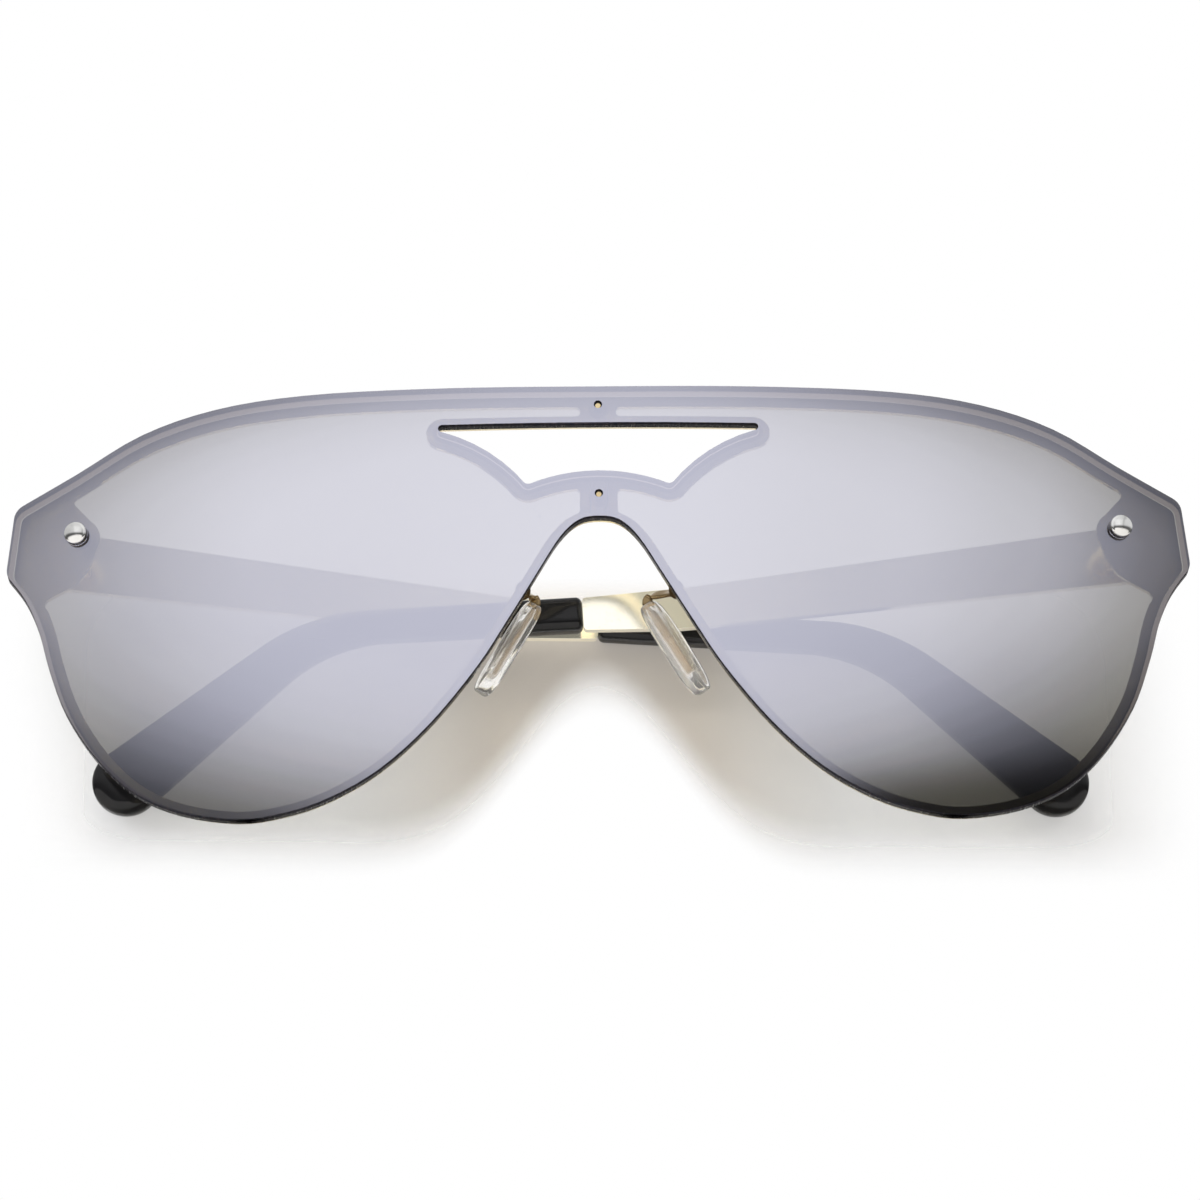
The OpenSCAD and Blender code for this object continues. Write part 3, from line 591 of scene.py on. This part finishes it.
def blackFinish(s):
    mat, t, sockets = startFinish("sleeve_black", IOR=1.47, Specular_IOR_Level=0.3, Coat_Weight=0.2,
        Coat_Roughness=0.05, Coat_IOR=1.45)
    t.links.new(mixColour(t, noise(t, placeOn(t), *s["flow"]), s["deep"], s["pale"]), sockets["Base Color"])
    hand = useGroup(t, "handling", Rough=0.11, Smudge=0.1, Scratch=0.12)
    t.links.new(hand["Roughness"], sockets["Roughness"])
    bumpFrom(t, hand["Height"], sockets, depth=0.012 * mm, strength=0.35)
    return mat


def clearFinish(s):
    mat, t, sockets = startFinish("pad_clear", Transmission_Weight=0.9, IOR=1.42, Metallic=0.0)
    cloud = spread(t, noise(t, placeOn(t), *s["cloud"]), *s["cloudFrom"])
    t.links.new(mixColour(t, cloud, s["fresh"], s["aged"]), sockets["Base Color"])
    hand = useGroup(t, "handling", Rough=0.02, Smudge=0.08, Scratch=0.06)
    t.links.new(hand["Roughness"], sockets["Roughness"])
    bumpFrom(t, hand["Height"], sockets, depth=0.03 * mm, strength=0.5)
    return mat


finishes = {
    "mirror": mirrorFinish(lensSet),
    "smoke": smokeFinish(lensSet, "lens_smoke", lensSet["tint"]),
    "rim": smokeFinish(lensSet, "lens_rim", lensSet["rim"]),
    "edge": edgeFinish(lensSet),
}
for metalName, metalRow in metalSet.items():
    finishes[metalName] = metalFinish(metalName, *metalRow)
finishes["bar_gold"] = barFinish(barSet)
finishes["sleeve_black"] = blackFinish(blackSet)
finishes["pad_clear"] = clearFinish(clearSet)
print("finishes made:", len(finishes))

# the solids' own numbers are in millimetres from the lens's front and foot; the frame's origin lies here
frontToOrigin, footToOrigin = 11.991, 0.027
curve = 300  # radius of the lens's front, from an upright axis behind it


# helpers for pieces
def rowPoint(x, y, z):
    return Vector((x, y - frontToOrigin, z + footToOrigin)) * mm


curveAxis = rowPoint(0, curve, 0)


def outward(p):
    d = p - curveAxis
    d.z = 0
    return d.normalized()


def finishPiece(bm, solid, ending, body, kinds, sharp=None):
    # an edge of more than sharp degrees stays an edge; the lens brings its own normals
    name = solid + ending
    mesh = bpy.data.meshes.new(name)
    bm.normal_update()
    for f in bm.faces:
        f.smooth = True
    bm.to_mesh(mesh)
    bm.free()
    obj = bpy.data.objects.new(name, mesh)
    scene.collection.objects.link(obj)
    for kind in kinds:
        mesh.materials.append(finishes[kind])
    if sharp:
        mesh.set_sharp_from_angle(angle=math.radians(sharp))
    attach(obj, body)
    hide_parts(solid)
    return obj


joinWithin = 0.0008 * mm


def cleanCopy(name, flat):
    # the solid's own mesh without its doubles and without the cuts across its flat faces
    bm = bmesh.new()
    bm.from_mesh(nodes[name].data)
    bmesh.ops.remove_doubles(bm, verts=bm.verts, dist=joinWithin)
    bmesh.ops.dissolve_limit(bm, angle_limit=math.radians(flat), verts=bm.verts, edges=bm.edges)
    return bm


def bevel(bm, edges, width, **more):
    bmesh.ops.bevel(bm, geom=edges, offset=width, segments=2, profile=0.5, affect="EDGES", clamp_overlap=True, **more)


# metal parts whose solid shape is right get broken edges
breakRules = {
    "flat": 0.25,
    "corner": 30,
    "sharp": 15,
    # where the frame faces the lens this squarely, it lies against it and gets a darker, rougher gold
    "againstLens": 0.9,
}
# width in mm, body and finish
brokenSet = {
    "front_frame": (0.09, "front", "frame_gold"),
    "centre_pin_upper": (0.07, "front", "nut_brass"),
    "centre_pin_lower": (0.07, "front", "nut_brass"),
}
for side in ("left", "right"):
    brokenSet["stud_washer_" + side] = (0.05, "front", "washer_steel")
    brokenSet["stud_nut_" + side] = (0.1, "front", "nut_brass")
    brokenSet["front_hinge_" + side] = (0.09, "front", "hinge_gold")
    brokenSet["hinge_screw_" + side] = (0.06, "front", "screw_steel")
    brokenSet["temple_hinge_" + side] = (0.09, "temple_" + side, "hinge_gold")
    brokenSet["temple_" + side] = (0.02, "temple_" + side, "bar_gold")


def breakEdges(r, name, width, body, finish):
    bm = cleanCopy(name, r["flat"])
    bm.normal_update()
    corner = math.radians(r["corner"])
    bevel(bm, [e for e in bm.edges if len(e.link_faces) == 2 and e.calc_face_angle() > corner], width * mm)
    kinds = [finish]
    if name == "front_frame":
        kinds.append("frame_dull")
        for f in bm.faces:
            f.material_index = 1 if f.normal.dot(outward(f.calc_center_median())) > r["againstLens"] else 0
    finishPiece(bm, name, "_finished", body, kinds, r["sharp"])


for brokenName, brokenRow in brokenSet.items():
    breakEdges(breakRules, brokenName, *brokenRow)
print("metal parts broken at their edges")


# the lens: a mirrored front, a smoked back with a darker strip round it, and a polished edge
def makeLens(s):
    front, rear, edge, strip = range(4)
    bm = cleanCopy("lens", s["flat"])
    bm.normal_update()
    for f in bm.faces:
        lean = f.normal.dot(outward(f.calc_center_median()))
        f.material_index = front if lean > s["facing"] else rear if lean < -s["facing"] else edge
    # only one side of a rim is the edge
    rims = [e for e in bm.edges if len({f.material_index == edge for f in e.link_faces}) == 2]
    bevel(bm, rims, s["round"], material=edge)
    # the strip is the part of the back that shows round the frame
    back = [f for f in bm.faces if f.material_index == rear]
    inset = bmesh.ops.inset_region(bm, faces=back, thickness=s["rimWide"], use_boundary=True, use_even_offset=True)
    for f in inset["faces"]:
        f.material_index = strip
    bm.normal_update()
    bm.verts.ensure_lookup_table()
    # front and back shade as true cylinders, and the rounding turns from one to the other
    normals = []
    for v in bm.verts:
        kinds = {f.material_index for f in v.link_faces}
        out = outward(v.co)
        if front in kinds:
            normals.append(out)
        elif kinds & {rear, strip}:
            normals.append(-out)
        else:
            deep = curve * mm - (v.co - curveAxis).xy.length
            flat = (v.normal - out * v.normal.dot(out)).normalized()
            near = max(0, 1 - deep / s["round"])
            far = max(0, 1 - (s["thick"] - deep) / s["round"])
            turn = (near if near > far else -far) * math.pi / 2
            normals.append((flat * math.cos(turn) + out * math.sin(turn)).normalized())
    pane = finishPiece(bm, "lens", "_pane", "front", ["mirror", "smoke", "edge", "rim"])
    pane.data.normals_split_custom_set_from_vertices(normals)


makeLens(lensSet)
print("lens made")


# rings, and the closed skins that join them
def bowed(x, bow):
    return math.copysign(abs(x) ** bow, x)


def ringPoints(c, u, v, n, bow):
    turns = [math.tau * k / n for k in range(n)]
    return [c + u * bowed(math.cos(a), bow) + v * bowed(math.sin(a), bow) for a in turns]


def skin(bm, rings, inside=False):
    rows = [[bm.verts.new(p) for p in r] for r in rings]
    made = []
    n = len(rows[0])
    for a, b in zip(rows, rows[1:]):
        for k in range(n):
            m = (k + 1) % n
            made.append(bm.faces.new((a[k], a[m], b[m], b[k])))
    made.append(bm.faces.new(list(reversed(rows[0]))))
    made.append(bm.faces.new(rows[-1]))
    bmesh.ops.recalc_face_normals(bm, faces=made)
    if inside:
        bmesh.ops.reverse_faces(bm, faces=made)


# studs: a domed head on a shank
studSet = {
    "place": (63.85, 6.873, 37.847),
    "lean": 12.29,
    "radius": 1.4,
    "side": 0.75,
    "dome": 0.6,
    "domeSteps": 8,
    "seat": 0.02,
    "round": 0.2,
    "roundFrom": 25,
    "roundSteps": 5,
    "roundDrop": 1.15,
    # under the head: how far in, and how far off the seat
    "foot": ((0, 0.12), (0.04, 0.03), (0.12, 0)),
    "shank": 0.6,
    "end": 4.28,
    "endRound": (0.1, 0.12),
    "sides": 56,
    "sharp": 40,
}


def studLine(s):
    r, top = s["radius"], -s["seat"] - s["side"]
    big = (r * r + s["dome"] ** 2) / (2 * s["dome"])
    line = [(0.0, top - s["dome"])]
    for k in range(1, s["domeSteps"] + 1):
        x = (r - s["round"]) * k / s["domeSteps"]
        line.append((x, top - s["dome"] + big - math.sqrt(big * big - x * x)))
    domeEnd = line[-1][1]
    start = math.cos(math.radians(s["roundFrom"]))
    for k in range(1, s["roundSteps"] + 1):
        a = math.radians(s["roundFrom"] + (90 - s["roundFrom"]) * k / s["roundSteps"])
        y = domeEnd + s["round"] * (start - math.cos(a)) * s["roundDrop"]
        line.append((r - s["round"] + s["round"] * math.sin(a), y))
    # painted shade: the upright side of the head is coloured dark, standing in for the dark crescent under it
    shadedFrom = len(line) - 1  # the upright side of the head is dull and dark
    line += [(r - into, -s["seat"] - off) for into, off in s["foot"]]
    narrow, short = s["endRound"]
    line += [(s["shank"], -s["seat"]), (s["shank"], s["end"] - short)]
    line += [(s["shank"] - narrow, s["end"]), (0.0, s["end"])]
    return line, shadedFrom


def makeStud(s, way, name):
    line, shadedFrom = studLine(s)
    x, y, z = s["place"]
    move = Matrix.Translation(rowPoint(way * x, y, z)) @ Matrix.Rotation(math.radians(way * s["lean"]), 4, "Z")
    n = s["sides"]
    turns = [math.tau * k / n for k in range(n)]
    bm = bmesh.new()
    rows = []
    for wide, deep in line:
        around = turns if wide else [0.0]
        points = [Vector((wide * math.cos(a), deep, wide * math.sin(a))) * mm for a in around]
        rows.append([bm.verts.new(move @ p) for p in points])
    for a, b in zip(rows, rows[1:]):
        for k in range(n):
            m = (k + 1) % n
            if len(a) == 1:
                loop = [a[0], b[k], b[m]]
            elif len(b) == 1:
                loop = [a[k], b[0], a[m]]
            else:
                loop = [a[k], b[k], b[m], a[m]]
            bm.faces.new(loop).material_index = 1 if a is rows[shadedFrom] else 0
    bmesh.ops.recalc_face_normals(bm, faces=bm.faces)
    finishPiece(bm, name, "_head", "front", ["stud_chrome", "stud_painted_shade"], s["sharp"])


makeStud(studSet, -1, "stud_left")
makeStud(studSet, 1, "stud_right")
print("studs made")

# nose pads and their arms, in mm and degrees; a slot or tongue is its width, thickness and both ends
padSet = {
    "middle": (10.2, 7.6, 22.9),
    "shift": 1,
    "lean": 31,
    "tilt": 5,
    "splay": {-1: 19, 1: 28},
    "length": 13,
    "width": 5.4,
    "thick": 2.3,
    "bow": 0.52,
    "edge": 3.0,
    "sides": 48,
    "steps": 44,
    "endTurn": 88,
    "slot": (2.7, 0.85, -0.60, 0.86),
    "slotSides": 20,
    "slotBow": 0.35,
    "slotSteps": 8,
    "slotPinch": 0.8,
    "sharp": 50,
}
armSet = {
    "foot": (9.3, 2.81, 28.7),
    "rise": 0.8,
    "knots": [(0, 0.3, 0.15), (0.3, 0.7, 0.7), (0.8, 0.97, 0.8)],
    "knotSteps": 9,
    "inside": 0.7,
    "width": 1.3,
    "thick": 0.55,
    "sides": 24,
    "bow": 0.42,
    "tongue": (2.2, 0.5, -0.55, 0.8),
    "tongueBow": 0.35,
    "tongueSteps": 14,
    # above which share of the tongue it has which share of its width
    "shoulders": ((0.55, 1.0), (0.5, 0.86), (0.04, 0.78)),
    "tongueTip": 0.6,
    # the fillet of solder where the arm stands on the rim: height and radius
    "solder": ((0.0, 1.25), (0.08, 1.2), (0.2, 1.0), (0.36, 0.86), (0.5, 0.78)),
    "solderWide": 0.75,
    "sharp": 50,
}


def padAxes(p, way):
    lean, tilt, splay = (math.radians(a) for a in (p["lean"], p["tilt"], p["splay"][way]))
    up = Vector((-math.sin(lean), -math.tan(tilt), math.cos(lean))).normalized()
    out = Vector((math.cos(lean), 0, math.sin(lean)))
    rear = up.cross(out)
    wide = rear * math.cos(splay) + out * math.sin(splay)
    thick = out * math.cos(splay) - rear * math.sin(splay)
    flip = Matrix.Diagonal((way, 1, 1))
    return [flip @ v for v in (up, wide, thick, out)]


def padMiddle(p, way):
    x, y, z = p["middle"]
    return rowPoint(way * x - p["shift"], y, z)


def roundShare(at, power):
    return max(0.0, 1 - abs(at) ** power) ** (1 / power)


def makePad(p, way, name):
    up, wide, thick = padAxes(p, way)[:3]
    middle = padMiddle(p, way)

    def ring(at, w, t, sides, bow):
        return ringPoints(middle + up * (p["length"] / 2 * at * mm), wide * (w * mm), thick * (t * mm), sides, bow)

    bm = bmesh.new()
    rings = []
    for i in range(p["steps"] + 1):
        at = math.sin(math.radians(p["endTurn"] * (2 * i / p["steps"] - 1)))
        w = p["width"] / 2 * roundShare(at, p["edge"])
        t = p["thick"] / 2 * roundShare(at, 2 * p["edge"])
        rings.append(ring(at, w, t, p["sides"], p["bow"]))
    skin(bm, rings)
    w, t, low, high = p["slot"]
    slotRings = []
    for i in range(p["slotSteps"] + 1):
        at = low + (high - low) * i / p["slotSteps"]
        pinch = 1 if 0 < i < p["slotSteps"] else p["slotPinch"]
        slotRings.append(ring(at, w / 2 * pinch, t / 2 * pinch, p["slotSides"], p["slotBow"]))
    skin(bm, slotRings, True)
    finishPiece(bm, name, "_clear", "front", ["pad_clear"], p["sharp"])


def smoothLine(knots, n):
    # a smooth line through all the knots, n points to each stretch
    line = []
    last = len(knots) - 1
    for i in range(last):
        a, b, c, d = (knots[max(0, min(last, i + k))] for k in (-1, 0, 1, 2))
        for j in range(n):
            t = j / n
            line.append(b + t / 2 * ((c - a) + t * ((2 * a - 5 * b + 4 * c - d) + t * (3 * b - a - 3 * c + d))))
    return line + [knots[-1]]


def makeArm(s, p, way, name):
    half = p["length"] / 2
    up, wide, thick, out = padAxes(p, way)
    middle = padMiddle(p, way)
    footX, footY, footZ = s["foot"]
    foot = rowPoint(way * footX, footY, footZ)
    head = middle + up * (half * mm)
    reach = head - foot
    knots = [foot]
    for a, b, c in s["knots"]:
        knots.append(foot + Vector((reach.x * a, reach.y * b, c * s["rise"] * mm)))
    knots += [head, middle + up * (half * s["inside"] * mm)]
    line = smoothLine(knots, s["knotSteps"])
    rings = []
    for i, at in enumerate(line):
        ahead = Vector((0, 1, 0)) if i == 0 else (line[min(i + 1, len(line) - 1)] - line[i - 1]).normalized()
        broad = (out - ahead * ahead.dot(out)).normalized()
        thin = broad.cross(ahead)
        u, v = broad * (s["width"] / 2 * mm), thin * (s["thick"] / 2 * mm)
        rings.append(ringPoints(at, u, v, s["sides"], s["bow"]))
    bm = bmesh.new()
    skin(bm, rings)
    w, t, low, high = s["tongue"]
    tongue = []
    for i in range(s["tongueSteps"] + 1):
        u = i / s["tongueSteps"]
        at = low + (high - low) * u
        share = next((part for above, part in s["shoulders"] if u > above), s["tongueTip"])
        u, v = wide * (w / 2 * share * mm), thick * (t / 2 * mm)
        tongue.append(ringPoints(middle + up * (half * at * mm), u, v, s["sides"], s["tongueBow"]))
    skin(bm, tongue)
    blob = []
    for tall, r in s["solder"]:
        broad = Vector((r * s["solderWide"] * way * mm, 0, 0))
        blob.append(ringPoints(foot + Vector((0, tall * mm, 0)), Vector((0, 0, r * mm)), broad, s["sides"], 1))
    skin(bm, blob)
    finishPiece(bm, name, "_bent", "front", ["arm_gold"], s["sharp"])


for sideSign, sideName in ((-1, "left"), (1, "right")):
    makePad(padSet, sideSign, "nose_pad_" + sideName)
    makeArm(armSet, padSet, sideSign, "pad_arm_" + sideName)
print("nose pads and arms made")

# sleeves: swept along the bent line of the temple, in mm and degrees from the hinge
sleeveSet = {
    "hinge": (67.8, 13.102, 37.8471),
    "rest": 3.034,
    "middle": 2.67,
    "bar": 69.8,
    "barEnd": 12,
    "slope": 7,
    "lap": 1.8,
    "run": 25.2,
    "endRun": 23.1,
    "turnFrom": 3,
    "turnTo": 40,
    "bend": 22,
    "mouth": 4.3,
    "waist": 4.0,
    "tip": 8.4,
    "thick": 3.2,
    "round": 0.8,
    "sides": 48,
    "bow": 0.52,
    # rings in the mouth's rounding, each straight run, the bend and the tip's rounding
    "mouthSteps": 6,
    "runSteps": 10,
    "bendSteps": 16,
    "tipSteps": 14,
    "tipTurn": 87,
    "tipBlunt": 0.6,
    "sharp": 55,
}


def leaning(a):
    # a line that leans down by a, and squareTo is the one square to it
    return Vector((math.cos(math.radians(a)), 0, -math.sin(math.radians(a))))


def squareTo(a):
    return Vector((math.sin(math.radians(a)), 0, math.cos(math.radians(a))))


def makeSleeve(s, way, name, body):
    run, first, last = s["run"], s["turnFrom"], s["turnTo"]
    lap = -s["lap"] if way < 0 else 0.0  # the left bar is the shorter one
    bendTurn = last - first
    bendRun = s["bend"] * math.radians(bendTurn)
    total = run + bendRun + s["endRun"] + lap
    tipR, waistR, mouthR = s["tip"] / 2, s["waist"] / 2, (s["mouth"] - s["waist"]) / 2
    drop = (s["bar"] - s["barEnd"]) * math.tan(math.radians(s["slope"])) + s["barEnd"] * math.tan(math.radians(first))
    barEnd = Vector((s["bar"], 0, -drop))
    centre = barEnd + leaning(first) * run - squareTo(first) * s["bend"]

    def angleAt(u):
        return first + bendTurn * max(0, min(1, (u - run) / bendRun))

    def pointAt(u):
        if u < run:
            return barEnd + leaning(angleAt(u)) * u
        return centre + squareTo(angleAt(u)) * s["bend"] + leaning(last) * max(0, u - run - bendRun)

    def halfHeight(u):
        if u < run:
            return waistR + mouthR * (1 - max(0, u) / run)
        return waistR + (s["tip"] - s["waist"]) / 2 * (u - run) / (total - run)

    # the left one is turned with its temple, and the right one is mirrored
    x, y, z = s["hinge"]
    turn = Matrix.Rotation(math.radians(s["rest"]), 4, "Z") if way < 0 else Matrix.Scale(-1, 4, (1, 0, 0))
    place = Matrix.Translation(rowPoint(way * x, y, z)) @ turn

    def ring(at, n, half, thick):
        at = Vector((at.x, s["middle"], at.z))
        return [place @ (q * mm) for q in ringPoints(at, n * half, Vector((0, thick, 0)), s["sides"], s["bow"])]

    rings = []
    for i in range(s["mouthSteps"] + 1):
        a = math.radians(90 * i / s["mouthSteps"])
        u, less = lap + s["round"] * (1 - math.cos(a)), s["round"] * (1 - math.sin(a))
        rings.append(ring(pointAt(u), squareTo(angleAt(u)), halfHeight(u) - less, s["thick"] / 2 - less))
    runSteps, bendSteps, tipSteps = s["runSteps"], s["bendSteps"], s["tipSteps"]
    stops = [run * k / runSteps for k in range(1, runSteps + 1)]
    stops += [run + bendRun * k / bendSteps for k in range(1, bendSteps + 1)]
    stops += [run + bendRun + (s["endRun"] + lap) * k / runSteps for k in range(1, runSteps + 1)]
    for u in stops:
        rings.append(ring(pointAt(u), squareTo(angleAt(u)), halfHeight(u), s["thick"] / 2))
    for i in range(1, tipSteps + 1):
        a = math.radians(s["tipTurn"] * i / tipSteps)
        at = pointAt(total + tipR * math.sin(a))
        rings.append(ring(at, squareTo(last), tipR * math.cos(a), s["thick"] / 2 * math.cos(a) ** s["tipBlunt"]))
    bm = bmesh.new()
    skin(bm, rings)
    finishPiece(bm, name, "_moulded", body, ["sleeve_black"], s["sharp"])


makeSleeve(sleeveSet, -1, "temple_tip_left", "temple_left")
makeSleeve(sleeveSet, 1, "temple_tip_right", "temple_right")
print("sleeves made")

scene.view_settings.view_transform = "Standard"
